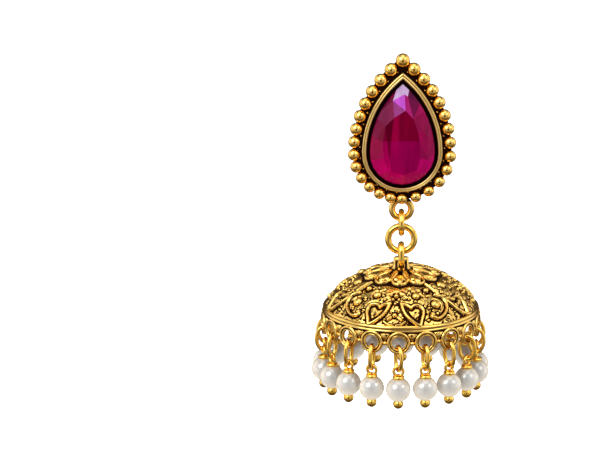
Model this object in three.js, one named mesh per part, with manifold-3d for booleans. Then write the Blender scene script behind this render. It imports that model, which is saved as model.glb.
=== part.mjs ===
// Jhumka earring: a teardrop stud with a cut stone, three interlocked rings and a domed bell
// fringed with pearls. Millimetres, +Z up, the front faces -Y.
// The origin is where the ear post leaves the back of the stud.

import * as THREE from 'three';
import { mergeVertices } from 'three/addons/utils/BufferGeometryUtils.js';
import { ConvexGeometry } from 'three/addons/geometries/ConvexGeometry.js';
import Module from 'manifold-3d';

const wasm = await Module();
wasm.setup();

// Fits
const hangGap = 0.1;
const stoneSeatGap = 0.25;
const postSeatGap = 0.1;
const pearlGap = 0.4;
const weld = 0.14;

// Stud: a teardrop plate, given by its half width and the height of its tip above the round end's centre
const postAboveStudCentre = 5.3;
const stoneHalfWidth = 5.35;
const stoneTipHeight = 11.7;
const tipRise = 1.45;
const bezelGap = 0.6;
const bezelWall = 0.68;
const plateThickness = 1.1;
const bezelHeight = 1.5;
const beadRowOffset = 2.65;
const beadDiameterTop = 2.3;
const beadDiameterUpper = 2.15;
const beadDiameterLower = 1.75;
const beadLift = 0.1;
const plateUnderBeads = 0.25;

// The beads run down both sides from the top one. Crowding draws them closer together below.
const beadRows = [
  { side: -1, count: 13, crowding: 0.14 },
  { side: 1, count: 12, crowding: 0 },
];

// Stone, its sections from back to front: how far each is drawn in, as a share of the half width, and
// how far forward it lies. The break has every second point, which cuts the crown into facets.
const girdleBack = 0.7;
const girdleBand = 0.3;
const crownHeight = 1.55;
const breakShare = 0.72;
const stoneSections = [
  { name: 'back', inset: 0.09, forward: 0, every: 1 },
  { name: 'girdle back', inset: 0, forward: girdleBack, every: 1 },
  { name: 'girdle front', inset: 0, forward: girdleBack + girdleBand, every: 1 },
  { name: 'break', inset: 0.28, forward: girdleBack + girdleBand + breakShare * crownHeight, every: 2 },
  { name: 'table', inset: 0.48, forward: girdleBack + girdleBand + crownHeight, every: 1 },
];

// Ear post
const postDiameter = 0.9;
const postLength = 11;
const postSeatDepth = 0.6;

// The three rings of the hanger and the bail that hangs from them
const studLoopHole = 2.1;
const studLoopWire = 1.1;
const linkHole = 2.7;
const linkWire = 0.95;
const ringHole = 3.24;
const ringWire = 1.12;
const bailHole = 1.46;
const bailWire = 1.05;

// Bell
const neckDiameter = 2.6;
const neckHeight = 2;
const bellRadius = 12.95;
const bellHeight = 6.7;
const bellPower = 2.24;
const bellFullness = 0.82;
const bellWall = 0.9;
const rimDiameter = 1.1;
const outerShares = [0.3, 0.55, 0.76, 0.93];
const innerShares = [0.93, 0.76, 0.45];
const rimAngles = [60, 0, -60, -120, -180];

// Cast relief of the bell. A panel is half of the bell, and its motifs are placed by their turn in
// degrees from the panel's middle. Places and lengths are shares of the bell's radius.
const reliefHeight = 0.4;
const reliefSink = 0.35;
const panelTurns = [-6.6, 173.4];
const petals = 11;
const petalRing = 0.38;
const petalWidth = 0.193;
const bosses = [
  { turn: 0, at: 0.65, width: 0.116 },
  { turn: -23.5, at: 0.65, width: 0.093 },
  { turn: 22.5, at: 0.65, width: 0.093 },
  { turn: 0, at: 0.9, width: 0.124 },
  { turn: -41, at: 0.81, width: 0.116 },
  { turn: 39, at: 0.79, width: 0.116 },
  { turn: 90, at: 0.62, width: 0.131 },
];
const leaves = [
  { turn: -15, at: 0.85, length: 0.28, lean: -40 },
  { turn: 15, at: 0.85, length: 0.28, lean: 40 },
  { turn: 90, at: 0.83, length: 0.32, lean: 0 },
];
const leafHole = 0.55;
const bars = [
  { turn: -58, at: 0.75, length: 0.65, width: 0.042, lean: -33 },
  { turn: 58, at: 0.75, length: 0.65, width: 0.042, lean: 33 },
];

// A leaf outline of unit length, its point at the top
const leaf = [
  [0, 0.5], [-0.22, 0.12], [-0.3, -0.2], [-0.16, -0.5],
  [0, -0.38], [0.16, -0.5], [0.3, -0.2], [0.22, 0.12],
];

// Pierced band of eyelets under the rim, one for each drop, with a sunk web between each two that
// closes the corner up to the rim
const frontDropTurn = -3;
const eyeletHole = 2.2;
const eyeletWall = 0.85;
const eyeletThickness = 0.75;
const webFoot = 0.4;
const webTopGap = 0.3;
const webSink = 0.1;
const webThickness = 0.45;

// Jump rings, oval
const jumpInnerHeight = 3.37;
const jumpInnerWidth = 1.84;
const jumpWire = 0.68;

// Pearl drops: an eye and a collar above the pearl and a ball head below it, in one piece
const eyeHole = 1.12;
const eyeWire = 0.42;
const collarDiameter = 1.8;
const collarHeight = 0.7;
const pearlDiameter = 4.1;
const pearlSeat = 0.25;
const headDiameter = 1.72;
const headDrop = 2.47;
const pearlArc = { from: -65, to: 62, steps: 4 };
const headArc = { from: -35, to: 25, steps: 1 };

// Facets
const flankSteps = 6;
const roundSteps = 4;
const stoneSteps = 4;
const wireSides = 6;
const smallWireSides = 5;
const ringSides = 12;
const smallRingSides = 10;
const ballRows = 4;
const bellSides = 24;
const reliefSides = 6;
const mergeDistance = 1e-4;
const slopeStep = 0.01;

const gold = { color: 0xd9a02c, roughness: 0.3, metalness: 1 };
const antique = { color: 0xc99a3a, roughness: 0.38, metalness: 1 };
const ruby = { color: 0xb00a5e, roughness: 0.08, metalness: 0 };
const pearl = { color: 0xece6dc, roughness: 0.25, metalness: 0 };

const radians = THREE.MathUtils.degToRad;

function closed(geometry) {
  geometry.deleteAttribute('normal');
  geometry.deleteAttribute('uv');
  return mergeVertices(geometry, mergeDistance);
}

function solid(geometry) {
  const shell = closed(geometry);
  return new wasm.Manifold(new wasm.Mesh({
    numProp: 3,
    vertProperties: new Float32Array(shell.attributes.position.array),
    triVerts: new Uint32Array(shell.index.array),
  }));
}

function geometryOf(body) {
  const mesh = body.getMesh();
  const geometry = new THREE.BufferGeometry();
  geometry.setAttribute('position', new THREE.BufferAttribute(mesh.vertProperties, 3));
  geometry.setIndex(new THREE.BufferAttribute(mesh.triVerts, 1));
  return geometry;
}

function joined(bodies) {
  return bodies.reduce((whole, body) => whole.add(body));
}

function part(name, geometry, finish) {
  const mesh = new THREE.Mesh(geometry, new THREE.MeshStandardMaterial(finish));
  mesh.name = name;
  return mesh;
}

// A flat outline in the XY plane, with or without a hole, made depth thick along +Z
function extruded(outline, hole, depth) {
  const shape = new THREE.Shape(outline);
  if (hole) {
    shape.holes.push(new THREE.Path(hole));
  }
  return new THREE.ExtrudeGeometry(shape, { depth, bevelEnabled: false });
}

function circle(radius, sides) {
  return Array.from({ length: sides }, (_, i) => {
    const angle = (2 * Math.PI * i) / sides;
    return new THREE.Vector2(radius * Math.cos(angle), radius * Math.sin(angle));
  });
}

function rectangle(width, length, lean) {
  const corners = [[-1, -1], [1, -1], [1, 1], [-1, 1]];
  return corners.map(([x, y]) => new THREE.Vector2((x * width) / 2, (y * length) / 2)
    .rotateAround(new THREE.Vector2(), radians(lean)));
}

// A ring of round wire in the XY plane, round or oval
function ring(holeX, holeY, wire, sides, around) {
  const geometry = new THREE.TorusGeometry(1, wire / 2, sides, around);
  const place = geometry.attributes.position;
  const halfX = (holeX + wire) / 2;
  const halfY = (holeY + wire) / 2;
  for (let i = 0; i < place.count; i += 1) {
    const angle = Math.atan2(place.getY(i), place.getX(i));
    const out = Math.hypot(place.getX(i), place.getY(i)) - 1;
    const normal = new THREE.Vector2(halfY * Math.cos(angle), halfX * Math.sin(angle)).normalize();
    place.setX(i, halfX * Math.cos(angle) + out * normal.x);
    place.setY(i, halfY * Math.sin(angle) + out * normal.y);
  }
  return geometry;
}

// A ring facing the front lies in the XZ plane, and one seen edge on lies in the YZ plane
function facingRing(hole, wire, y, z) {
  return ring(hole, hole, wire, wireSides, ringSides).rotateX(Math.PI / 2).translate(0, y, z);
}

function edgeRing(hole, wire, y, z) {
  return ring(hole, hole, wire, wireSides, ringSides).rotateY(Math.PI / 2).translate(0, y, z);
}

// The teardrop at an offset from the stone's girdle: a half circle below and two arcs that meet at the tip
function teardropSizes(offset) {
  const halfWidth = stoneHalfWidth + offset;
  const tip = stoneTipHeight + tipRise * offset;
  const flankRadius = (halfWidth ** 2 + tip ** 2) / (2 * halfWidth);
  return { halfWidth, tip, flankRadius, sweep: Math.asin(tip / flankRadius) };
}

function teardrop(offset, flankCount, roundCount) {
  const { halfWidth, tip, flankRadius, sweep } = teardropSizes(offset);
  const left = [];
  for (let i = 1; i <= flankCount; i += 1) {
    const angle = sweep * (1 - i / flankCount);
    left.push([flankRadius * (1 - Math.cos(angle)) - halfWidth, flankRadius * Math.sin(angle)]);
  }
  for (let i = 1; i < roundCount; i += 1) {
    const angle = (Math.PI / 2) * (i / roundCount);
    left.push([-halfWidth * Math.cos(angle), -halfWidth * Math.sin(angle)]);
  }
  const right = left.map(([x, z]) => [-x, z]).reverse();
  return [[0, tip], ...left, [0, -halfWidth], ...right].map(([x, z]) => new THREE.Vector2(x, z));
}

// Point on the teardrop at a share of the way from the tip to the bottom, by length
function alongTeardrop(offset, share) {
  const { halfWidth, flankRadius, sweep } = teardropSizes(offset);
  const flank = flankRadius * sweep;
  const length = share * (flank + (halfWidth * Math.PI) / 2);
  if (length < flank) {
    const angle = sweep - length / flankRadius;
    return { x: halfWidth - flankRadius * (1 - Math.cos(angle)), z: flankRadius * Math.sin(angle) };
  }
  const angle = (length - flank) / halfWidth;
  return { x: halfWidth * Math.cos(angle), z: -halfWidth * Math.sin(angle) };
}

// A flat piece of the stud: its outline is drawn in XZ and it reaches forward from backY
function slab(outline, hole, backY, thickness) {
  return extruded(outline, hole, thickness).rotateX(Math.PI / 2).translate(0, backY, -postAboveStudCentre);
}

const studBottom = -postAboveStudCentre - stoneHalfWidth - beadRowOffset;
const hangY = -plateThickness / 2;

// Heights of the hanging pieces, each from the one that it hangs on
const studLoopZ = studBottom - studLoopHole / 2 - studLoopWire + weld;
const linkZ = studLoopZ - studLoopHole / 2 + hangGap - linkHole / 2;
const ringZ = linkZ - linkHole / 2 + hangGap - ringHole / 2;
const bailZ = ringZ - ringHole / 2 + hangGap - bailHole / 2;
const neckTop = bailZ - bailHole / 2 - weld;
const apexZ = neckTop - neckHeight;
const rimZ = apexZ - bellHeight;
const rimRadius = bellRadius - rimDiameter / 2 + weld;
const eyeletRadius = eyeletHole / 2 + eyeletWall;
const eyeletZ = rimZ - rimDiameter / 2 - eyeletRadius + weld;
const jumpZ = eyeletZ - eyeletHole / 2 + hangGap - jumpInnerHeight / 2;
const eyeZ = jumpZ - jumpInnerHeight / 2 + hangGap - eyeHole / 2;
const collarTop = eyeZ - eyeHole / 2 - weld;
const pearlZ = collarTop - collarHeight + pearlSeat - pearlDiameter / 2;
const headZ = pearlZ - headDrop;

// As many drops as the bell's edge holds with the gap between their pearls
const drops = Math.floor((2 * Math.PI * bellRadius) / (pearlDiameter + pearlGap));
const pitch = 360 / drops;

function dropTurn(i) {
  return frontDropTurn + i * pitch;
}

function studCasting() {
  const plateEdge = beadRowOffset + plateUnderBeads * beadDiameterLower;
  const bezel = slab(
    teardrop(bezelGap + bezelWall, flankSteps, roundSteps),
    teardrop(bezelGap, flankSteps, roundSteps),
    weld - plateThickness,
    bezelHeight + weld,
  );
  const bodies = [
    solid(slab(teardrop(plateEdge, flankSteps, roundSteps), null, 0, plateThickness)),
    solid(bezel),
    solid(facingRing(studLoopHole, studLoopWire, hangY, studLoopZ)),
  ];
  const bead = (x, z, diameter) => {
    const ball = new THREE.SphereGeometry(diameter / 2, smallRingSides, ballRows);
    bodies.push(solid(ball.translate(x, -plateThickness - beadLift, z - postAboveStudCentre)));
  };
  for (const { side, count, crowding } of beadRows) {
    for (let i = 1; i <= count; i += 1) {
      const share = i / (count + 1);
      const { x, z } = alongTeardrop(beadRowOffset, share + crowding * share * (1 - share));
      bead(side * x, z, beadDiameterUpper + share * (beadDiameterLower - beadDiameterUpper));
    }
  }
  bead(0, stoneTipHeight + tipRise * beadRowOffset, beadDiameterTop);
  bead(0, -stoneHalfWidth - beadRowOffset, beadDiameterLower);
  const seatRadius = postDiameter / 2 + postSeatGap;
  const seat = new THREE.CylinderGeometry(seatRadius, seatRadius, 2 * postSeatDepth, smallRingSides);
  return geometryOf(joined(bodies).subtract(solid(seat)));
}

function stone() {
  const back = -plateThickness - stoneSeatGap;
  const points = [];
  for (const { inset, forward, every } of stoneSections) {
    teardrop(-inset * stoneHalfWidth, stoneSteps, stoneSteps).forEach((p, i) => {
      if ((i + 1) % every === 0) {
        points.push(new THREE.Vector3(p.x, back - forward, p.y - postAboveStudCentre));
      }
    });
  }
  return closed(new ConvexGeometry(points));
}

function earPost() {
  const whole = postLength + postSeatDepth - postSeatGap;
  const geometry = new THREE.CylinderGeometry(postDiameter / 2, postDiameter / 2, whole, smallRingSides);
  return geometry.translate(0, whole / 2 - postSeatDepth + postSeatGap, 0);
}

// Height of the bell's outer face at a distance from its axis, and how steeply it falls there
function bellFace(radius) {
  return rimZ + bellHeight * Math.max(0, 1 - (radius / bellRadius) ** bellPower) ** bellFullness;
}

function bellSlope(radius) {
  return (bellFace(radius - slopeStep) - bellFace(radius + slopeStep)) / (2 * slopeStep);
}

function bellShell() {
  const face = (share, wall) => new THREE.Vector2(
    share * (bellRadius - wall), bellFace(share * bellRadius) - wall);
  const rim = rimAngles.map((angle) => new THREE.Vector2(
    rimRadius + (rimDiameter / 2) * Math.cos(radians(angle)),
    rimZ + (rimDiameter / 2) * Math.sin(radians(angle))));
  const profile = [
    new THREE.Vector2(0, neckTop),
    new THREE.Vector2(neckDiameter / 2, neckTop),
    new THREE.Vector2(neckDiameter / 2, apexZ + weld),
    ...outerShares.map((share) => face(share, 0)),
    ...rim,
    ...innerShares.map((share) => face(share, bellWall)),
    new THREE.Vector2(0, apexZ - bellWall),
  ];
  return new THREE.LatheGeometry(profile.reverse(), bellSides).rotateX(Math.PI / 2);
}

// Lays a flat relief on the bell: x runs along the circle, y up the slope, z out of the face
function laidOnBell(geometry, turn, radius) {
  const place = geometry.attributes.position;
  for (let i = 0; i < place.count; i += 1) {
    const r = radius - place.getY(i) / Math.hypot(1, bellSlope(radius));
    const slope = bellSlope(r);
    const out = place.getZ(i) / Math.hypot(1, slope);
    const angle = radians(turn) + place.getX(i) / radius;
    const reach = r + out * slope;
    place.setXYZ(i, reach * Math.sin(angle), -reach * Math.cos(angle), bellFace(r) + out);
  }
  return geometry;
}

function relief(outline, hole, turn, radius) {
  const geometry = extruded(outline, hole, reliefHeight + reliefSink);
  return solid(laidOnBell(geometry.translate(0, 0, -reliefSink), turn, radius));
}

function leafOutline(length, lean) {
  return leaf.map(([x, y]) => new THREE.Vector2(x * length, y * length)
    .rotateAround(new THREE.Vector2(), radians(lean)));
}

function bellRelief() {
  const bodies = [];
  for (let i = 0; i < petals; i += 1) {
    const outline = circle((petalWidth * bellRadius) / 2, reliefSides);
    bodies.push(relief(outline, null, panelTurns[0] + (360 * i) / petals, petalRing * bellRadius));
  }
  for (const panel of panelTurns) {
    for (const { turn, at, width } of bosses) {
      bodies.push(relief(circle((width * bellRadius) / 2, reliefSides), null, panel + turn, at * bellRadius));
    }
    for (const { turn, at, length, lean } of leaves) {
      const outline = leafOutline(length * bellRadius, lean);
      const inside = leafOutline(length * bellRadius * leafHole, lean);
      bodies.push(relief(outline, inside, panel + turn, at * bellRadius));
    }
    for (const { turn, at, length, width, lean } of bars) {
      const outline = rectangle(width * bellRadius, length * bellRadius, lean);
      bodies.push(relief(outline, null, panel + turn, at * bellRadius));
    }
  }
  return bodies;
}

// A flat piece of the eyelet band, drawn facing the front and turned to its place on the circle
function bandPiece(outline, hole, turn, radius, thickness) {
  const geometry = extruded(outline, hole, thickness).translate(0, 0, -thickness / 2);
  return solid(geometry.rotateX(Math.PI / 2).translate(0, -radius, eyeletZ).rotateZ(radians(turn)));
}

function eyeletBand() {
  const bodies = [];
  const halfPitch = bellRadius * Math.tan(radians(pitch / 2));
  const footHalf = halfPitch - eyeletRadius + weld;
  const topHalf = halfPitch - webTopGap;
  const webTop = eyeletRadius + rimDiameter / 4;
  const eyelet = circle(eyeletRadius, smallRingSides);
  const eye = circle(eyeletHole / 2, smallRingSides);
  const corners = [[-footHalf, -webFoot], [footHalf, -webFoot], [topHalf, webTop], [-topHalf, webTop]];
  const web = corners.map(([x, y]) => new THREE.Vector2(x, y));
  for (let i = 0; i < drops; i += 1) {
    bodies.push(bandPiece(eyelet, eye, dropTurn(i), bellRadius, eyeletThickness));
    bodies.push(bandPiece(web, null, dropTurn(i + 0.5), bellRadius - webSink, webThickness));
  }
  return bodies;
}

function bell() {
  const shell = solid(bellShell());
  const bail = solid(edgeRing(bailHole, bailWire, 0, bailZ));
  const whole = joined([shell, bail, ...bellRelief(), ...eyeletBand()]);
  return geometryOf(whole).translate(0, hangY, 0);
}

function jumpRing(turn) {
  const geometry = ring(jumpInnerWidth, jumpInnerHeight, jumpWire, smallWireSides, smallRingSides);
  geometry.rotateX(Math.PI / 2).rotateZ(Math.PI / 2).translate(0, -bellRadius, jumpZ);
  return geometry.rotateZ(radians(turn)).translate(0, hangY, 0);
}

function arc(radius, centre, { from, to, steps }) {
  return Array.from({ length: steps + 1 }, (_, i) => {
    const angle = radians(from + ((to - from) * i) / steps);
    return new THREE.Vector2(radius * Math.cos(angle), centre + radius * Math.sin(angle));
  });
}

function pearlDrop(turn) {
  const headRadius = headDiameter / 2;
  const profile = [
    new THREE.Vector2(0, headZ - headRadius),
    ...arc(headRadius, headZ, headArc),
    ...arc(pearlDiameter / 2, pearlZ, pearlArc),
    new THREE.Vector2(collarDiameter / 2, collarTop - collarHeight),
    new THREE.Vector2(collarDiameter / 2, collarTop),
    new THREE.Vector2(0, collarTop),
  ];
  const body = solid(new THREE.LatheGeometry(profile, smallRingSides).rotateX(Math.PI / 2));
  const loop = ring(eyeHole, eyeHole, eyeWire, smallWireSides, smallRingSides);
  const eye = solid(loop.rotateX(Math.PI / 2).translate(0, 0, eyeZ));
  const geometry = geometryOf(body.add(eye)).translate(0, -bellRadius, 0);
  return geometry.rotateZ(radians(turn)).translate(0, hangY, 0);
}

const group = new THREE.Group();
group.add(part('stud_casting', studCasting(), antique));
group.add(part('stone', stone(), ruby));
group.add(part('ear_post', earPost(), gold));
group.add(part('connector_link', edgeRing(linkHole, linkWire, hangY, linkZ), gold));
group.add(part('hanging_ring', facingRing(ringHole, ringWire, hangY, ringZ), gold));
group.add(part('bell', bell(), antique));
for (let i = 0; i < drops; i += 1) {
  const number = String(i + 1).padStart(2, '0');
  group.add(part(`jump_ring_${number}`, jumpRing(dropTurn(i)), gold));
  group.add(part(`pearl_drop_${number}`, pearlDrop(dropTurn(i)), pearl));
}

export default group;
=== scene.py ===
# Jhumka earring: a teardrop stud with a foiled glass stone, a link and a ring below it, and a
# domed bell fringed with pearls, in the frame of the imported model. Sizes are in millimetres.

import math

import bmesh
import bpy
import numpy as np
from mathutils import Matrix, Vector, noise


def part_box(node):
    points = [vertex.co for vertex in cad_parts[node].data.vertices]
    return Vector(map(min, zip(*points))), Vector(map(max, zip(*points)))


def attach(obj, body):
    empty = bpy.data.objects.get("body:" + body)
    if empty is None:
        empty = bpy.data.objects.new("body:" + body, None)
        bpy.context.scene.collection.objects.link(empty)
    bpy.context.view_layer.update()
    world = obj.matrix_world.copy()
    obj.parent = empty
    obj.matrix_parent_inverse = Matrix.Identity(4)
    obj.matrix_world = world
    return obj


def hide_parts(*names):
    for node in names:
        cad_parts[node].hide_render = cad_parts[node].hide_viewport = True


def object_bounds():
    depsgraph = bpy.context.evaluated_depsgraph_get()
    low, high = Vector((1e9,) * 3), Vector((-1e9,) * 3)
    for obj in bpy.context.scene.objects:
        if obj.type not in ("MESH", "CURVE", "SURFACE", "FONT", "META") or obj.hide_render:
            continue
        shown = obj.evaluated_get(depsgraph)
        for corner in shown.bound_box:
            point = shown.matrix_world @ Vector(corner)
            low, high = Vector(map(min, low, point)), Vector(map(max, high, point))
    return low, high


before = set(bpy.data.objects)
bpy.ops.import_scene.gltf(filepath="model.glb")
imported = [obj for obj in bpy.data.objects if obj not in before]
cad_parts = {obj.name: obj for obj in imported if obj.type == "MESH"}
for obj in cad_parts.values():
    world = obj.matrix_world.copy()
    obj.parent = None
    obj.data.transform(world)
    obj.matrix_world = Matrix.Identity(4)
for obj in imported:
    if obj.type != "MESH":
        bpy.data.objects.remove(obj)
cad_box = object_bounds()


# Studio
# A white tent of cloth with bright panels, a darker back and floor side, and a dark opening in
# front. The floor is plain pale paper and lies well below the hanging earring.

MM = 0.001
scene = bpy.context.scene


def feed(tree, node, sockets):
    """Gives a node's inputs their values, or links them to other nodes' outputs."""
    for label, value in sockets.items():
        if isinstance(value, bpy.types.NodeSocket):
            tree.links.new(value, node.inputs[label])
        else:
            node.inputs[label].default_value = value


def add_node(tree, kind, sockets=None, **settings):
    made = tree.nodes.new(kind)
    for label, value in settings.items():
        setattr(made, label, value)
    feed(tree, made, sockets or {})
    return made


def new_material(name):
    material = bpy.data.materials.new(name)
    material.use_nodes = True
    tree = material.node_tree
    return material, tree, tree.nodes["Principled BSDF"]


camera_distance = 600 * MM
camera_rise = math.radians(15.5)
photo_centre = Vector((-16.9, -0.55, -18.1)) * MM

camera_data = bpy.data.cameras.new("camera")
camera_data.lens = 216
camera_data.sensor_width = 36
camera_data.clip_start = 0.01
camera = bpy.data.objects.new("camera", camera_data)
scene.collection.objects.link(camera)
lens_way = Vector((0, -math.cos(camera_rise), math.sin(camera_rise)))
camera.location = photo_centre + camera_distance * lens_way
camera.rotation_euler = (math.pi / 2 - camera_rise, 0, 0)
scene.camera = camera
scene.view_settings.view_transform = "Standard"

# Patches of the tent: the way that each lies in, its half angle with and without its soft edge,
# and how much light it adds to the tent's own
tent_light = 0.3
patches = [
    {"way": tuple(lens_way), "inner": 35, "outer": 80, "light": 0.42},
    {"way": (-0.62, -0.55, 0.62), "inner": 15, "outer": 24, "light": 3.4},
    {"way": (0.66, -0.45, 0.60), "inner": 10, "outer": 20, "light": 2.8},
    {"way": (0.0, -0.1, 1.0), "inner": 14, "outer": 34, "light": 1.4},
    {"way": (-0.9, 0.35, 0.25), "inner": 12, "outer": 42, "light": 0.9},
    {"way": (0.9, 0.35, 0.25), "inner": 12, "outer": 42, "light": 0.9},
    {"way": (-0.9, -0.3, -0.1), "inner": 8, "outer": 20, "light": 0.9},
    {"way": (0.95, -0.2, -0.05), "inner": 8, "outer": 20, "light": 0.8},
]
# Patches that take light away, and the warm tint that they give what is left
warm = (1.0, 0.74, 0.45, 1)
dark_patches = [
    {"way": (0, -1, -0.03), "inner": 14, "outer": 21, "left": 0.03},
    {"way": (0, 1, 0), "inner": 15, "outer": 62, "left": 0.32},
    {"way": (0, -0.35, -1), "inner": 30, "outer": 65, "left": 0.42},
]

world = bpy.data.worlds.new("tent")
world.use_nodes = True
scene.world = world
tent = world.node_tree
tent_way = add_node(tent, "ShaderNodeTexCoord").outputs["Generated"]


def patch_share(patch):
    """How much of a patch lies in the way that the tent is looked at."""
    dot = add_node(tent, "ShaderNodeVectorMath",
                   {0: tent_way, 1: Vector(patch["way"]).normalized()}, operation="DOT_PRODUCT")
    share = add_node(tent, "ShaderNodeMapRange", {
        "Value": dot.outputs["Value"],
        "From Min": math.cos(math.radians(patch["outer"])),
        "From Max": math.cos(math.radians(patch["inner"])),
    }, interpolation_type="SMOOTHSTEP")
    return share.outputs["Result"]


white = (1, 1, 1, 1)
light = tent_light
for patch in patches:
    light = add_node(tent, "ShaderNodeMath", {0: patch_share(patch), 1: patch["light"], 2: light},
                     operation="MULTIPLY_ADD").outputs[0]
colour = white
for patch in dark_patches:
    share = patch_share(patch)
    left = add_node(tent, "ShaderNodeMapRange", {"Value": share, "To Min": 1.0, "To Max": patch["left"]})
    colour = add_node(tent, "ShaderNodeMix", {0: share, 6: colour, 7: warm}, data_type="RGBA").outputs[2]
    light = add_node(tent, "ShaderNodeMath", {0: light, 1: left.outputs["Result"]},
                     operation="MULTIPLY").outputs[0]
# The camera itself sees plain white behind the earring
seen = add_node(tent, "ShaderNodeLightPath").outputs["Is Camera Ray"]
shown = add_node(tent, "ShaderNodeMix", {"Factor": seen, "A": light, "B": 1.0}, data_type="FLOAT")
plain = add_node(tent, "ShaderNodeMix", {0: seen, 6: colour, 7: white}, data_type="RGBA")
feed(tent, tent.nodes["Background"], {"Color": plain.outputs[2], "Strength": shown.outputs["Result"]})

floor_below = 300 * MM
floor_radius = 6.0
bpy.ops.mesh.primitive_circle_add(
    vertices=96, radius=floor_radius, fill_type="NGON",
    location=(0, 0, cad_box[0][2] - floor_below))
floor = bpy.context.object
floor.name = "floor"
paper, tree, shader = new_material("pale_floor")
feed(tree, shader, {
    "Base Color": (0.9, 0.9, 0.9, 1), "Roughness": 0.9, "Emission Color": white,
    "Emission Strength": 0.75})
floor.data.materials.append(paper)
floor.visible_glossy = False

key_light = bpy.data.lights.new("key", "AREA")
key_light.size = 350 * MM
key_light.energy = 1.0
key = bpy.data.objects.new("key", key_light)
scene.collection.objects.link(key)
key.location = Vector((-320, -450, 420)) * MM
key.rotation_euler = (photo_centre - key.location).to_track_quat("-Z", "Y").to_euler()


# Stud casting
# The stud is one casting in plated brass: a teardrop plate, a bezel with two ridges, a row of
# beads and a loop below. A black wash was left in its hollows and wiped off its high spots.

stud_low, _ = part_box("stud_casting")
stone_low, stone_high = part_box("stone")
half_width = (stone_high[0] - stone_low[0]) / 2 / MM
centre_z = stone_low[2] / MM + half_width
tip_height = stone_high[2] / MM - centre_z
tip_rise = 1.45
plate_thickness = 1.1
plate_edge = 2.88
bezel_gap = 0.6
bezel_wall = 0.68
bezel_height = 1.5
bead_offset = 2.65
bead_top = 2.35
bead_upper = 2.28
bead_lower = 1.86
bead_lift = 0.4
bead_rows = [
    {"side": -1, "count": 13, "crowding": 0.14},
    {"side": 1, "count": 12, "crowding": 0.0},
]
stud_loop = {"hole": 2.1, "wire": 1.1}
hang_y = -plate_thickness / 2
# The plating's two tints on each kind of piece, mixed in clouds
cast_tints = ((1.0, 0.69, 0.22, 1), (0.88, 0.49, 0.075, 1))
wire_tints = ((1.0, 0.68, 0.17, 1), (0.92, 0.52, 0.065, 1))
# The bezel's tints are paler and creamier than the rest of the casting: a painted highlight
bezel_painted_highlight_tints = ((1.0, 0.76, 0.30, 1), (1.0, 0.68, 0.22, 1))
black_wash = (0.026, 0.008, 0.002, 1)
wash_rough = 0.5


def gold_finish(name, tints, wash=False, grain=0.006, rough=(0.07, 0.15)):
    """Plated brass, with the black wash where the piece's wash attribute says so."""
    material, tree, shader = new_material(name)
    place = add_node(tree, "ShaderNodeTexCoord").outputs["Object"]
    cloud = add_node(tree, "ShaderNodeTexNoise", {"Vector": place, "Scale": 700, "Detail": 3})
    tint = add_node(tree, "ShaderNodeMix", {
        0: cloud.outputs["Fac"], 6: tints[0], 7: tints[1]}, data_type="RGBA")
    fine = add_node(tree, "ShaderNodeTexNoise", {"Vector": place, "Scale": 5200, "Detail": 4})
    polish = add_node(tree, "ShaderNodeMapRange", {
        "Value": cloud.outputs["Fac"], "From Min": 0.3, "From Max": 0.7,
        "To Min": rough[0], "To Max": rough[1]})
    colour, roughness = tint.outputs[2], polish.outputs["Result"]
    if wash:
        left = add_node(tree, "ShaderNodeAttribute", attribute_name="wash")
        # The fine grain breaks up the edge of the wash
        ragged = add_node(tree, "ShaderNodeMath", {0: fine.outputs["Fac"], 1: 0.5}, operation="SUBTRACT")
        edge = add_node(tree, "ShaderNodeMath", {0: ragged.outputs[0], 1: 0.5, 2: left.outputs["Fac"]},
                        operation="MULTIPLY_ADD")
        black = add_node(tree, "ShaderNodeMapRange", {
            "Value": edge.outputs[0], "From Min": 0.24, "From Max": 0.5},
            interpolation_type="SMOOTHSTEP").outputs["Result"]
        washed = add_node(tree, "ShaderNodeMix", {0: black, 6: colour, 7: black_wash},
                          data_type="RGBA")
        dulled = add_node(tree, "ShaderNodeMix", {"Factor": black, "A": roughness, "B": wash_rough},
                          data_type="FLOAT")
        colour, roughness = washed.outputs[2], dulled.outputs["Result"]
    bump = add_node(tree, "ShaderNodeBump", {
        "Height": fine.outputs["Fac"], "Strength": 0.35, "Distance": grain * MM})
    feed(tree, shader, {
        "Metallic": 1.0, "Base Color": colour, "Roughness": roughness, "Normal": bump.outputs["Normal"]})
    return material


antique_gold = gold_finish("antique_gold", cast_tints, wash=True)
bright_gold = gold_finish("bright_gold", wire_tints)
# The bezel's paler gold is a painted highlight on the same plating
bezel_painted_highlight_gold = gold_finish("bezel_painted_highlight_gold", bezel_painted_highlight_tints, wash=True, grain=0.002, rough=(0.28, 0.34))


def mesh_object(name, points, faces, material, wash=None, smooth=True):
    """A mesh from points in millimetres. wash is the share of black wash at each point."""
    mesh = bpy.data.meshes.new(name)
    mesh.from_pydata((np.asarray(points, dtype=float) * MM).tolist(), [], faces)
    mesh.materials.append(material)
    mesh.polygons.foreach_set("use_smooth", [smooth] * len(mesh.polygons))
    if wash is not None:
        layer = mesh.attributes.new("wash", "FLOAT", "POINT")
        layer.data.foreach_set("value", np.asarray(wash, dtype=float))
    mesh.update()
    made = bpy.data.objects.new(name, mesh)
    scene.collection.objects.link(made)
    return made


def settle(made, body, nodes):
    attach(made, body)
    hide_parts(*nodes)


def grid_faces(rows, columns, flip=False):
    """Faces of a grid of points, row by row, whose columns run round."""
    faces = []
    for row in range(rows - 1):
        for column in range(columns):
            after = (column + 1) % columns
            face = (row * columns + column, row * columns + after,
                    (row + 1) * columns + after, (row + 1) * columns + column)
            faces.append(face[::-1] if flip else face)
    return faces


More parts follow.
